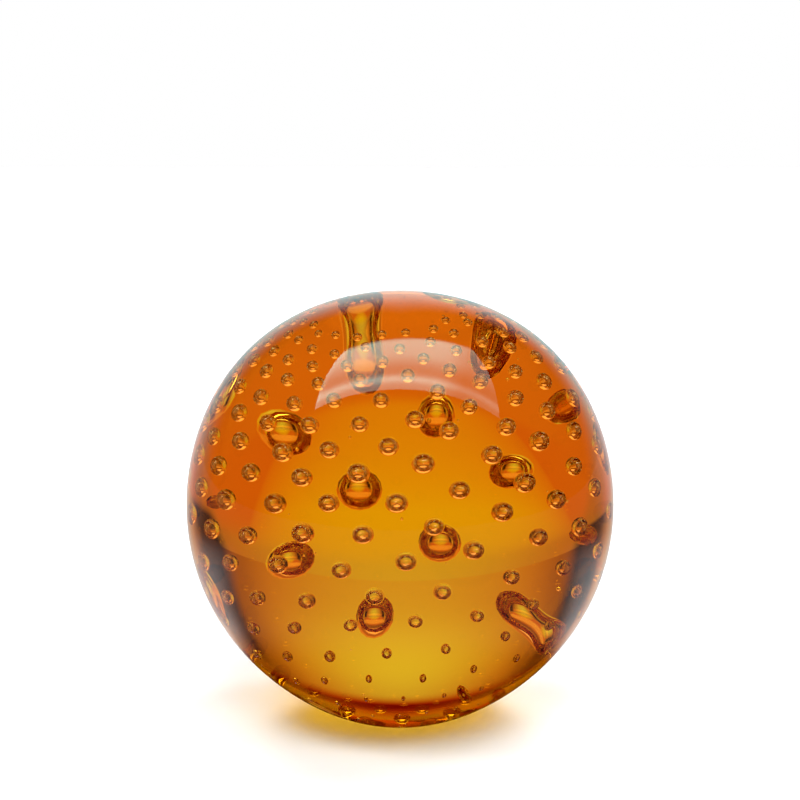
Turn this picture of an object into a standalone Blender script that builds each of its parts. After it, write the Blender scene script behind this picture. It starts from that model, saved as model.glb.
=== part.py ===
"""A glass ball paperweight: one solid lump of amber glass, standing on a small ground flat.

The ball is turned about a vertical axis. Its shoulders are a little fuller than a true sphere, and its
underside is drawn down a little where the soft glass sagged, so it stands slightly taller than it is wide.
The origin is the centre of the flat underneath, with +Z up.
"""

import math

import bpy

# Driving dimensions, in metres.
BALL_RADIUS = 0.040  # at the widest level, so the ball is 80 mm across
FOOT_RADIUS = 0.0085  # the ground flat that keeps the ball from rolling

# Departures from a true sphere, as shares of the ball's radius.
SHOULDER_FULLNESS = 0.019  # the swell of the upper flanks, midway between the equator and the top
CHIN_DROOP = 0.055  # how far the underside hangs below a sphere
CHIN_SHARPNESS = 12  # a higher power keeps the droop closer to the underside

# Facets: about 5,500 triangles in all.
PROFILE_STEPS = 38
TURN_STEPS = 72
FOOT_RIM_ANGLE = math.radians(9)  # the rim of the foot is sharper than this, and the round facets are not
MERGE_DISTANCE = 0.00001

COLLECTION_NAME = "glass_paperweight"


def clear_scene():
    for old in list(bpy.data.objects):
        bpy.data.objects.remove(old, do_unlink=True)


def outline_point(elevation):
    """Distance from the axis, and height above the ball's middle, where the outline has this elevation."""
    rise = math.sin(elevation)
    shoulder = SHOULDER_FULLNESS * math.sin(2 * elevation) ** 2 * (1 + rise) / 2
    chin = CHIN_DROOP * ((1 - rise) / 2) ** CHIN_SHARPNESS
    reach = BALL_RADIUS * (1 + shoulder + chin)
    return reach * math.cos(elevation), reach * rise


def foot_elevation():
    """Elevation, below the middle, at which the outline has come in to the rim of the foot."""
    low, high = -math.pi / 2, -math.pi / 4
    while high - low > 1e-9:
        middle = (low + high) / 2
        if outline_point(middle)[0] < FOOT_RADIUS:
            low = middle
        else:
            high = middle
    return high


def ball_profile():
    """The outline from the top pole down to the foot, as (x, z) points with the foot at z = 0."""
    top, bottom = math.pi / 2, foot_elevation()
    outline = [outline_point(top + (bottom - top) * step / PROFILE_STEPS) for step in range(PROFILE_STEPS + 1)]
    outline[0] = (0.0, outline[0][1])
    foot_height = outline[-1][1]
    profile = [(x, z - foot_height) for x, z in outline]
    return profile + [(0.0, 0.0)]


def amber_glass():
    material = bpy.data.materials.new("amber_glass")
    material.use_nodes = True
    shader = material.node_tree.nodes["Principled BSDF"]
    shader.inputs["Base Color"].default_value = (0.90, 0.46, 0.06, 1.0)
    shader.inputs["Metallic"].default_value = 0.0
    shader.inputs["Roughness"].default_value = 0.0
    shader.inputs["IOR"].default_value = 1.5
    shader.inputs["Transmission Weight"].default_value = 1.0
    return material


def turned_solid(name, profile, material, collection):
    """A closed solid of revolution about Z, from a profile that runs from the top down to the foot."""
    mesh = bpy.data.meshes.new(name)
    edges = [(i, i + 1) for i in range(len(profile) - 1)]
    mesh.from_pydata([(x, 0.0, z) for x, z in profile], edges, [])
    mesh.materials.append(material)
    solid = bpy.data.objects.new(name, mesh)
    collection.objects.link(solid)

    screw = solid.modifiers.new("turn", "SCREW")
    screw.axis = "Z"
    screw.angle = 2 * math.pi
    screw.steps = screw.render_steps = TURN_STEPS
    screw.use_merge_vertices = True
    screw.merge_threshold = MERGE_DISTANCE
    screw.use_smooth_shade = True

    bpy.context.view_layer.objects.active = solid
    solid.select_set(True)
    bpy.ops.object.modifier_apply(modifier=screw.name)
    solid.data.shade_smooth()
    solid.data.set_sharp_from_angle(angle=FOOT_RIM_ANGLE)
    return solid


def main():
    clear_scene()
    collection = bpy.data.collections.new(COLLECTION_NAME)
    bpy.context.scene.collection.children.link(collection)
    turned_solid("glass_ball", ball_profile(), amber_glass(), collection)


main()
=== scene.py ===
"""The looks of a glass ball paperweight: a solid lump of amber glass with a net of bubbles sealed in it.

The piece stands on its ground foot at the origin of the CAD frame, with +Z up. Sizes are in metres.
"""

import math
import random

import bmesh
import bpy
from mathutils import Matrix, Vector


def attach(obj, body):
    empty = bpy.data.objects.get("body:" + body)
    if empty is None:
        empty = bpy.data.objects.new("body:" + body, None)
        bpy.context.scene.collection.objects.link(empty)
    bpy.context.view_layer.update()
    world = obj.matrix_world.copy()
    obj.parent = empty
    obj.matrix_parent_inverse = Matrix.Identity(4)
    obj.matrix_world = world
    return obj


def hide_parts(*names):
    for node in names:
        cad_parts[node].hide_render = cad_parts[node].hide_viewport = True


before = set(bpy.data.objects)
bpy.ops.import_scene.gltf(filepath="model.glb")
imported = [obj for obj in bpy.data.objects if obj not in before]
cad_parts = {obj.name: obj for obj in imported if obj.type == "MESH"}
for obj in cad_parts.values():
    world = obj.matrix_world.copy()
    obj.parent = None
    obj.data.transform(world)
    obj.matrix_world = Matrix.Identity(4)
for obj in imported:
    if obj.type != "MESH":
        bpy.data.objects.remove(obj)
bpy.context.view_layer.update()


# ---------------------------------------------------------------------------------------------------------
# The glass ball. A gather of amber glass, marvered round on the iron and annealed, with a little sag left
# under it, and a small flat ground at the bottom so that it stays where it is put.

BALL_RADIUS = 0.040
FOOT_RADIUS = 0.0085
SHOULDER_FULLNESS = 0.019
CHIN_DROOP = 0.055
CHIN_SHARPNESS = 12


def ball_outline(elevation):
    """Distance from the axis, and height above the ball's middle, where the outline has this elevation."""
    rise = math.sin(elevation)
    shoulder = SHOULDER_FULLNESS * math.sin(2 * elevation) ** 2 * (1 + rise) / 2
    chin = CHIN_DROOP * ((1 - rise) / 2) ** CHIN_SHARPNESS
    reach = BALL_RADIUS * (1 + shoulder + chin)
    return reach * math.cos(elevation), reach * rise


def foot_elevation():
    """The elevation, below the middle, where the outline has come in to the rim of the foot."""
    low, high = -math.pi / 2, -math.pi / 4
    while high - low > 1e-9:
        middle = (low + high) / 2
        if ball_outline(middle)[0] < FOOT_RADIUS:
            low = middle
        else:
            high = middle
    return high


foot_turn = foot_elevation()
MIDDLE_HEIGHT = -ball_outline(foot_turn)[1]


def turn_ball(lump, steps_down=112, steps_round=224):
    """Turns the outline about the ball's upright axis, from the top pole to the middle of the foot."""
    chain = []
    for step in range(steps_down + 1):
        across, up = ball_outline(math.pi / 2 + (foot_turn - math.pi / 2) * step / steps_down)
        chain.append(lump.verts.new((across if step else 0.0, 0.0, MIDDLE_HEIGHT + up)))
    for share in (0.97, 0.6, 0.0):
        chain.append(lump.verts.new((FOOT_RADIUS * share, 0.0, 0.0)))
    edges = [lump.edges.new(pair) for pair in zip(chain, chain[1:])]
    bmesh.ops.spin(
        lump, geom=chain + edges, cent=(0, 0, 0), axis=(0, 0, 1), dvec=(0, 0, 0),
        angle=2 * math.pi, steps=steps_round, use_merge=True, use_normal_flip=False, use_duplicate=False,
    )
    bmesh.ops.remove_doubles(lump, verts=lump.verts, dist=1e-7)
    bmesh.ops.recalc_face_normals(lump, faces=lump.faces)


glass = bmesh.new()
turn_ball(glass)


# ---------------------------------------------------------------------------------------------------------
# The net of bubbles, and a few tiny seeds. Pins press pits into the hot gather, the next gather seals air
# into each, so they are longer inwards than across, and a twist leans the columns. They are holes in the
# ball's own mesh, so their faces look into the air. The outer gather is thinner at the back.

ROWS = range(-7, 11)
COLUMNS = 18
SEEDS = 26
BUBBLE_RADIUS = 0.00174
NET_RADIUS = 0.822
THIN_SIDE_SHIFT = 0.048
UNEVEN_DEGREES = 0.7
ball_middle = Vector((0, 0, MIDDLE_HEIGHT))


def round_hole():
    """A small ball of 96 square-ish faces that looks inwards, as the wall of a hole in glass does."""
    hole = bmesh.new()
    bmesh.ops.create_cube(hole, size=2.0)
    bmesh.ops.subdivide_edges(hole, edges=hole.edges, cuts=3, use_grid_fill=True)
    for corner in hole.verts:
        corner.co = Vector([math.tan(part * math.pi / 4) for part in corner.co]).normalized()
    bmesh.ops.recalc_face_normals(hole, faces=hole.faces)
    bmesh.ops.reverse_faces(hole, faces=hole.faces)
    mesh = bpy.data.meshes.new("round_hole")
    hole.to_mesh(mesh)
    hole.free()
    return mesh


hole_wall = round_hole()


def blow_bubble(lump, place, radii):
    """Puts one hole in the lump. Its first radius runs along the ball's own, its last nearest upright."""
    before = set(lump.verts)
    lump.from_mesh(hole_wall)
    new = [vert for vert in lump.verts if vert not in before]
    outward = (place - ball_middle).normalized()
    sideways = Vector((0, 0, 1)).cross(outward).normalized()
    upward = outward.cross(sideways)
    turned = Matrix((outward * radii[0], sideways * radii[1], upward * radii[2])).transposed().to_4x4()
    bmesh.ops.transform(lump, matrix=Matrix.Translation(place) @ turned, verts=new)


def row_rise(row):
    """How far up the ball this row lies, in degrees. The rows draw together a little towards the top."""
    return -3.06 + 9.33 * row - 0.212 * row * row


def column_turn(row, column):
    """How far round from the front this bubble lies, in degrees. Every other row starts half a step on."""
    turn = -0.7 - 0.26 * row + (column + (row % 2) / 2) * 360 / COLUMNS
    return turn + 3.8 * (1 - math.cos(math.radians(turn)))


def share(value, start, span):
    """0 below the start and 1 from start + span on, and in proportion between them."""
    return min(1.0, max(0.0, value - start) / span)


chance = random.Random(15548)
net_lean = Matrix.Rotation(math.radians(-2.6), 3, "X") @ Matrix.Rotation(math.radians(-6.0), 3, "Y")
net_middle = Vector((0.023, 0.002, -0.046)) * BALL_RADIUS + ball_middle
thin_side = Vector((-0.12, 0.967, -0.225))
for row in ROWS:
    rise = row_rise(row)
    for column in range(COLUMNS):
        turn = column_turn(row, column)
        up = math.radians(rise + chance.gauss(0, UNEVEN_DEGREES))
        along = math.radians(turn + chance.gauss(0, UNEVEN_DEGREES))
        outward = Vector((math.sin(along) * math.cos(up), -math.cos(along) * math.cos(up), math.sin(up)))
        facing = outward.dot(thin_side)
        thin = share(facing, 0.87 + 0.025 * share(abs(rise + 5), 0, 9), 0.05)
        thinnest = share(facing, 0.93, 0.02)
        depth = NET_RADIUS + THIN_SIDE_SHIFT * thin
        place = net_middle + net_lean @ outward * BALL_RADIUS * depth
        size = BUBBLE_RADIUS * math.exp(-(((rise - 14) / 62) ** 2)) * chance.uniform(0.93, 1.07)
        size *= 1 - 0.08 * thin + 0.30 * thinnest
        tall = 0.965 + 0.035 * outward.y + 0.42 * share(-rise, 25, 25)
        deep = 1.2 - 0.2 * outward.y
        blow_bubble(glass, place, (size * deep, size / tall, size * tall))
for seed in range(SEEDS):
    away = Vector([chance.gauss(0, 1) for part in range(3)]).normalized()
    away *= BALL_RADIUS * chance.uniform(0.25, 0.76)
    size = chance.uniform(0.00010, 0.00026)
    blow_bubble(glass, ball_middle + away, (size, size, size))

ball_mesh = bpy.data.meshes.new("paperweight_glass")
glass.to_mesh(ball_mesh)
glass.free()
ball_mesh.shade_smooth()
ball_mesh.set_sharp_from_angle(angle=math.radians(30))
ball = bpy.data.objects.new("paperweight_glass", ball_mesh)
bpy.context.scene.collection.objects.link(ball)


class Wire:
    """A socket in a node tree. Sums and products of wires add the Math nodes that work them out."""

    def __init__(self, tree, socket=None):
        self.tree, self.socket = tree, socket

    def node(self, kind, settings, inlets, outlet=0):
        """Adds a node of this kind, with its settings made first, and gives back a wire from its outlet."""
        added = self.tree.nodes.new(kind)
        for name, value in settings.items():
            setattr(added, name, value)
        for name, value in inlets.items():
            if isinstance(value, Wire):
                self.tree.links.new(value.socket, added.inputs[name])
            else:
                added.inputs[name].default_value = value
        return Wire(self.tree, added.outputs[outlet]) if added.outputs else None

    def math(self, operation, *values):
        return self.node("ShaderNodeMath", {"operation": operation}, dict(enumerate(values)))

    def __add__(self, other):
        return self.math("ADD", self, other)

    def __sub__(self, other):
        return self.math("SUBTRACT", self, other)

    def __rsub__(self, other):
        return self.math("SUBTRACT", other, self)

    def __mul__(self, other):
        return self.math("MULTIPLY", self, other)

    def __truediv__(self, other):
        return self.math("DIVIDE", self, other)

    __radd__, __rmul__ = __add__, __mul__


def bare_material(name):
    """A material with no nodes in it yet, and a wire to start from."""
    material = bpy.data.materials.new(name)
    material.use_nodes = True
    material.node_tree.nodes.clear()
    return material, Wire(material.node_tree)


def amber_glass():
    """Clear amber: smooth all over, coloured only by the depth of glass that light crosses."""
    material, start = bare_material("amber_glass")
    surface = start.node(
        "ShaderNodeBsdfPrincipled", {},
        {"Base Color": (1, 1, 1, 1), "Roughness": 0.0, "IOR": 1.5, "Transmission Weight": 1.0},
    )
    amber = (0.95, 0.789, 0.036, 1)
    body = start.node("ShaderNodeVolumeAbsorption", {}, {"Color": amber, "Density": 56.0})
    start.node("ShaderNodeOutputMaterial", {}, {"Surface": surface, "Volume": body})
    return material


ball_mesh.materials.append(amber_glass())
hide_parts("glass_ball")
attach(ball, "root")


# ---------------------------------------------------------------------------------------------------------
# The table: a plain pale sheet. Two glowing cards lie on it that only the glass shows, each a hair above the
# last.
# One is a painted reflection of the table, mirrored in the ball's skin. One is seen through the ball, with
# painted lanes of light and painted shade on the table.

TABLE_HALF_WIDTH = 1.5


def table_sheet(name, height, material, seen_by):
    """A flat square sheet round the ball's foot, left to these kinds of rays."""
    sheet = bmesh.new()
    bmesh.ops.create_grid(sheet, x_segments=1, y_segments=1, size=TABLE_HALF_WIDTH)
    bmesh.ops.translate(sheet, verts=sheet.verts, vec=(0, 0, height))
    mesh = bpy.data.meshes.new(name)
    sheet.to_mesh(mesh)
    sheet.free()
    mesh.materials.append(material)
    made = bpy.data.objects.new(name, mesh)
    bpy.context.scene.collection.objects.link(made)
    for kind in ("camera", "diffuse", "glossy", "transmission", "volume_scatter", "shadow"):
        setattr(made, "visible_" + kind, kind in seen_by)


def table_white():
    """A white sheet, matt all over, a little greyer where the grain of the board lies low."""
    material, start = bare_material("table_white")
    spot = start.node("ShaderNodeTexCoord", {}, {}, outlet="Object")
    grain = spot.node("ShaderNodeTexNoise", {}, {"Vector": spot, "Scale": 240.0, "Detail": 2.0})
    colour = mix_colour(grain, (0.855, 0.855, 0.855), (0.865, 0.865, 0.865))
    surface = start.node(
        "ShaderNodeBsdfPrincipled", {}, {"Base Color": colour, "Roughness": 1.0, "Specular IOR Level": 0.0},
    )
    start.node("ShaderNodeOutputMaterial", {}, {"Surface": surface})
    return material


def step_up(wire, low, high):
    """0 below low and 1 above high, with a soft step between them."""
    return wire.node(
        "ShaderNodeMapRange", {"interpolation_type": "SMOOTHSTEP"},
        {"Value": wire, "From Min": low, "From Max": high, "To Min": 0.0, "To Max": 1.0},
    )


def mix_colour(mask, first, second):
    """The first colour where the mask is 0 and the second where it is 1."""
    first, second = (colour if isinstance(colour, Wire) else (*colour, 1) for colour in (first, second))
    return mask.node("ShaderNodeMix", {"data_type": "RGBA"}, {0: mask, 6: first, 7: second}, outlet=2)


def parts_of(place):
    """The three parts of a place or of a way."""
    return [place.node("ShaderNodeSeparateXYZ", {}, {0: place}, outlet=part) for part in range(3)]


def after_floor(wire):
    """1 for light on its way from the floor, and 0 for what the eye sees."""
    depth = wire.node("ShaderNodeLightPath", {}, {}, outlet="Diffuse Depth")
    return wire.math("MINIMUM", depth, 1.0)


def where_on_table(start):
    """How far across and back a spot lies, and how far off the foot, in ball radii."""
    spot = start.node("ShaderNodeTexCoord", {}, {}, outlet="Object")
    across, back = parts_of(spot)[:2]
    length = start.node("ShaderNodeVectorMath", {"operation": "LENGTH"}, {0: spot}, outlet="Value")
    return across, back, length / BALL_RADIUS


def dark_flags(turned):
    """1 where one of the two dark flags stands, by how many degrees the way is turned from the back."""
    return 0.97 * step_up(turned, 36.0, 43.0) * (1 - step_up(turned, 53.0, 69.0))


def light_card(start, level, colour):
    """Lets a card shine with painted light of this colour, by the level there, and never light the table
    itself.
    """
    seen = mix_colour(level * (1 - after_floor(start)), (0, 0, 0), colour)
    light = start.node("ShaderNodeEmission", {}, {"Color": seen, "Strength": 1.0})
    start.node("ShaderNodeOutputMaterial", {}, {"Surface": light})


def painted_lanes_card():
    """Painted light and shade of the table, seen through the ball and shone by the card: a painted deep
    amber shadow close in, a painted bright ring right under the ball, from four sides a painted brighter
    lane of light that widens as it goes out, and two painted dark flags far off between them."""
    material, start = bare_material("painted_lanes_card")
    across, back, far = where_on_table(start)
    turn = start.math("ARCTAN2", across, back)

    lane_start, beam_width = 2.75, math.radians(16)
    lane_turn = start.math("WRAP", turn, math.pi / 4, -math.pi / 4)
    out, side = far * start.math("COSINE", lane_turn), far * start.math("SINE", lane_turn)
    past = start.math("MAXIMUM", out - lane_start, 0.0)
    right, left = side / (0.5 + 0.68 * past), 0 - side / (0.5 + 1.0 * past)
    aside = start.math("MINIMUM", start.math("MAXIMUM", right, left), 1.0)
    arch = start.math("COSINE", aside * (math.pi / 2))
    beam = start.math("EXPONENT", -0.5 * (lane_turn / beam_width) * (lane_turn / beam_width))
    distant = step_up(far, 5.0, 12.0)
    arch = arch + (beam - arch) * distant
    crown = 0.20 + 0.33 * start.math("MINIMUM", past / 2.0, 1.0)
    edge = 1 - step_up(aside, 0.93, 1.0)
    lane = step_up(out, lane_start - 0.1, lane_start + 0.1)
    under = (1 - lane) * (1 - step_up(start.math("ABSOLUTE", side), 0.5, 1.5))
    bright = 0.24 + 0.05 * under + lane * (arch * crown + 0.04 * edge * (1 - distant))
    outer = step_up(start.math("ABSOLUTE", lane_turn), 0.60, 0.72)
    red = 1.02 * start.math("POWER", bright, 0.16 + 0.12 * distant) * (1 - 0.22 * outer)
    red = red * (1 - 0.12 * step_up(far, 3.0, 14.0))
    blue = 0.08 + 0.45 * step_up(out, 5.0, 12.0) * bright
    colour = start.node("ShaderNodeCombineColor", {}, {0: red, 1: bright, 2: blue})

    # Painted light and shade for rays that a bubble has bent: a cream halo from 1.5 to 3 radii out, a dark
    # ring of painted shade from 0.7 to 1.5, and for all rays the painted bright cream patch right under the
    # ball.
    hits = start.node("ShaderNodeLightPath", {}, {}, outlet="Ray Depth")
    bent, trapped = step_up(hits, 2.5, 3.5), step_up(hits, 4.2, 7.2)
    painted_halo = 0.5 * bent * step_up(far, 1.5, 1.7) * (1 - step_up(far, 2.5, 3.2))
    colour = mix_colour(painted_halo, colour, (1.5, 0.9, 0.8))
    colour = mix_colour(step_up(far + 0.32 * bent, 1.0, 1.1), (2.0, 1.2, 2.6), colour)
    shade = bent * step_up(far, 0.7, 0.8) * (1 - step_up(far, 1.2, 1.5))

    # Painted shade of the two dark flags on the far table, and painted dimming for rays trapped among the
    # bubbles.
    flags = dark_flags(start.math("ABSOLUTE", turn) * (180 / math.pi))
    flags = flags * step_up(far + 1.9 * start.math("SIGN", turn), 7.4, 10.0)
    level = (1 - flags * (1 - 0.5 * bent)) * (1 - 0.6 * shade) * (1 - 0.4 * trapped)
    light_card(start, level, colour)
    return material


def painted_reflection_card():
    """A painted reflection of the table that the ball's skin mirrors: painted dim amber shade right under
    the ball, and pale painted light out behind it.
    """
    material, start = bare_material("painted_reflection_card")
    across, back, far = where_on_table(start)
    turned = start.math("ABSOLUTE", start.math("ARCTAN2", across, back)) * (180 / math.pi)
    near = 0.14 + 0.70 * (1 - step_up(turned, 76.0, 100.0))
    away = 0.08 + 0.85 * (1 - step_up(turned, 10.0, 66.0))
    pale = near + (away - near) * step_up(far, 2.2, 4.5)
    colour = mix_colour(step_up(far, 0.9, 1.4), (0.06, 0.02, 0.0), (1.0, 1.0, 1.0))
    light_card(start, pale, colour)
    return material


all_but_mirrors = ("camera", "diffuse", "transmission", "volume_scatter", "shadow")
table_sheet("table", -0.0006, table_white(), all_but_mirrors)
table_sheet("painted_reflection_card", -0.0004, painted_reflection_card(), ("glossy",))
table_sheet("painted_lanes_card", -0.0002, painted_lanes_card(), ("transmission",))


# ---------------------------------------------------------------------------------------------------------
# The studio: soft white lamps over the table, one soft box overhead that the ball mirrors, and round the
# sides four lit panels and two dark flags, which show through the ball and give it its depth.

world = bpy.data.worlds.new("studio")
bpy.context.scene.world = world
world.use_nodes = True
world.node_tree.nodes.clear()
start = Wire(world.node_tree)
way = start.node("ShaderNodeTexCoord", {}, {}, outlet="Generated")
way_right, way_back, way_up = parts_of(way)
turn = start.math("ARCTAN2", way_right, way_back) * (180 / math.pi)
climb = start.math("ARCSINE", way_up) * (180 / math.pi)

height = start.math("MAXIMUM", way_up, 0.05)
across, back = way_right / height, way_back / height
left_edge = across + 0.927 - 0.813 * (back + 0.376)
soft_box = step_up(way_up, 0.2, 0.25) * step_up(back, -0.33, -0.31) * step_up(left_edge, -0.01, 0.01)
soft_box = soft_box * step_up(1.16 - 0.860 * (back + 0.328) - across, -0.01, 0.01)
soft_box = soft_box * step_up(0.37 + 0.168 * across - back, -0.04, 0.04)
tube = (back + 0.19) / 0.035
cloth = 2.2 + 3.6 * step_up(back, -0.08, 0.18) + 1.0 * (1 - step_up(back, -0.26, -0.20))
cloth = cloth + 5.5 * start.math("EXPONENT", -0.5 * tube * tube) + 1.5 * (1 - step_up(left_edge, 0.02, 0.08))
soft_box = soft_box * cloth * (1 - 0.6 * step_up(across, 0.25, 0.55))

panel_turn = start.math("WRAP", turn, 45.0, -45.0)
spread, spot_height = panel_turn / 16, (climb - 19) / 9
panel = 0.5 + 0.32 * start.math("EXPONENT", -0.5 * spot_height * spot_height)
panel = 0.22 + panel * start.math("EXPONENT", -0.5 * spread * spread)
panel = panel * (0.93 + 0.07 * step_up(climb, 3.0, 12.0))
bright = panel * (1 - step_up(climb, 33.0, 43.0)) + 0.004 + 0.12 * step_up(climb, 46.0, 64.0)
red, blue = 0.95 * start.math("POWER", bright, 0.28), 0.60 * start.math("POWER", bright, 1.3)
panels = start.node("ShaderNodeCombineColor", {}, {0: red, 1: bright, 2: blue})
turned = start.math("ABSOLUTE", turn)
flags = dark_flags(turned) * (1 - step_up(climb, 21.0, 40.0))
dim = 1 - 0.4 * step_up(start.math("ABSOLUTE", panel_turn), 22.0, 40.0)
dim = dim * (0.98 + 0.02 * step_up(climb, 4.0, 16.0)) * (1 - flags)
back_wall = (1 - step_up(climb + 0.6 * turned, 18.0, 46.0)) * (1 - step_up(turned, 10.0, 66.0))

ray = {}
for kind in ("Is Camera Ray", "Is Glossy Ray", "Is Transmission Ray", "Ray Depth"):
    ray[kind] = start.node("ShaderNodeLightPath", {}, {}, outlet=kind)
straight = ray["Is Transmission Ray"] * (1 - after_floor(start))
focused = ray["Is Transmission Ray"] * after_floor(start)
mirror = ray["Is Glossy Ray"] * (1 - ray["Is Transmission Ray"])
bent, scattered = step_up(ray["Ray Depth"], 3.5, 4.5), step_up(ray["Ray Depth"], 4.5, 5.5)
dim = dim * (1 - 0.45 * step_up(ray["Ray Depth"], 4.2, 7.2))
dim = dim * (1 + 0.5 * bent * step_up(climb, 0.0, 2.0) * (1 - step_up(climb, 8.0, 11.0)))


def lamp(lean, toward, sharpness, strength):
    """One soft lamp, leaned over from straight up by so many degrees, towards this turn."""
    lean, toward = math.radians(lean), math.radians(toward)
    aim = (math.sin(lean) * math.sin(toward), math.sin(lean) * math.cos(toward), math.cos(lean))
    facing = way.node(
        "ShaderNodeVectorMath", {"operation": "DOT_PRODUCT"}, {0: way, 1: aim}, outlet="Value",
    )
    return strength * start.math("POWER", start.math("MAXIMUM", facing, 0.0), sharpness)


# The lamps that light the open table.
lamps = lamp(36, 45, 100, 20.5) + lamp(36, 225, 100, 18.5) + lamp(36, 180, 100, 15.5)
lamps = lamps + lamp(36, 90, 100, 14.0) + lamp(36, 315, 100, 17.0) + lamp(48, 180, 100, 14.5)
lamps = lamps + lamp(48, 135, 40, 8.0) + lamp(48, 0, 100, 10.0) + lamp(62, 180, 40, 1.5)

# The lamps that the ball gathers into the amber light beside its foot.
gathered = lamp(26, 135, 60, 11.5) + lamp(18, 225, 60, 9.0) + lamp(18, 90, 60, 4.5)
gathered = gathered + lamp(18, 270, 60, 3.0) + lamp(18, 0, 60, 1.5)


def light_from(colour, level):
    """Light of this colour from all round, as strong on each side as the level there."""
    scaled = way.node("ShaderNodeVectorMath", {"operation": "SCALE"}, {0: colour, "Scale": level})
    return start.node("ShaderNodeBackground", {}, {"Color": scaled, "Strength": 1.0})


def both(first, second):
    return start.node("ShaderNodeAddShader", {}, {0: first, 1: second})


def choose(mask, first, second):
    return start.node("ShaderNodeMixShader", {}, {0: mask, 1: first, 2: second})


through = both(light_from(panels, dim), light_from((0.9, 0.95, 1.0), soft_box))
mirrored = both(
    light_from((0.48, 1.0, 0.86), soft_box * (1 - after_floor(start))),
    light_from((0.54, 0.88, 0.90), back_wall * (1 - after_floor(start))),
)
studio = choose(straight, light_from((1.0, 1.0, 1.0), lamps), through)
studio = choose(focused, studio, light_from((1.0, 1.0, 1.0), gathered * (1.2 - 1.15 * scattered)))
studio = choose(mirror, studio, mirrored)
studio = choose(ray["Is Camera Ray"], studio, light_from((1.0, 1.0, 1.0), 1.0))
start.node("ShaderNodeOutputWorld", {}, {"Surface": studio})


# ---------------------------------------------------------------------------------------------------------
# The camera: a long lens ten ball radii off, a little above the ball and looking just over its middle.
# Light is let through as many walls of glass and air as the thickest part of the net has.

CAMERA_DISTANCE = 10 * BALL_RADIUS
LOOK_DOWN = math.radians(13)
LOOK_OVER = math.radians(2.79)
WALLS_CROSSED = 16

camera = bpy.data.objects.new("camera", bpy.data.cameras.new("camera"))
bpy.context.scene.collection.objects.link(camera)
bpy.context.scene.camera = camera
camera.data.lens = 95.6
camera.data.clip_start, camera.data.clip_end = 0.01, 20
stand_off = Vector((0, -math.cos(LOOK_DOWN), math.sin(LOOK_DOWN)))
camera.location = ball_middle + CAMERA_DISTANCE * stand_off
camera.rotation_euler = (math.pi / 2 - LOOK_DOWN + LOOK_OVER, 0, 0)
bpy.context.scene.view_settings.view_transform = "Standard"
cycles = bpy.context.scene.cycles
cycles.max_bounces = cycles.glossy_bounces = cycles.transmission_bounces = WALLS_CROSSED
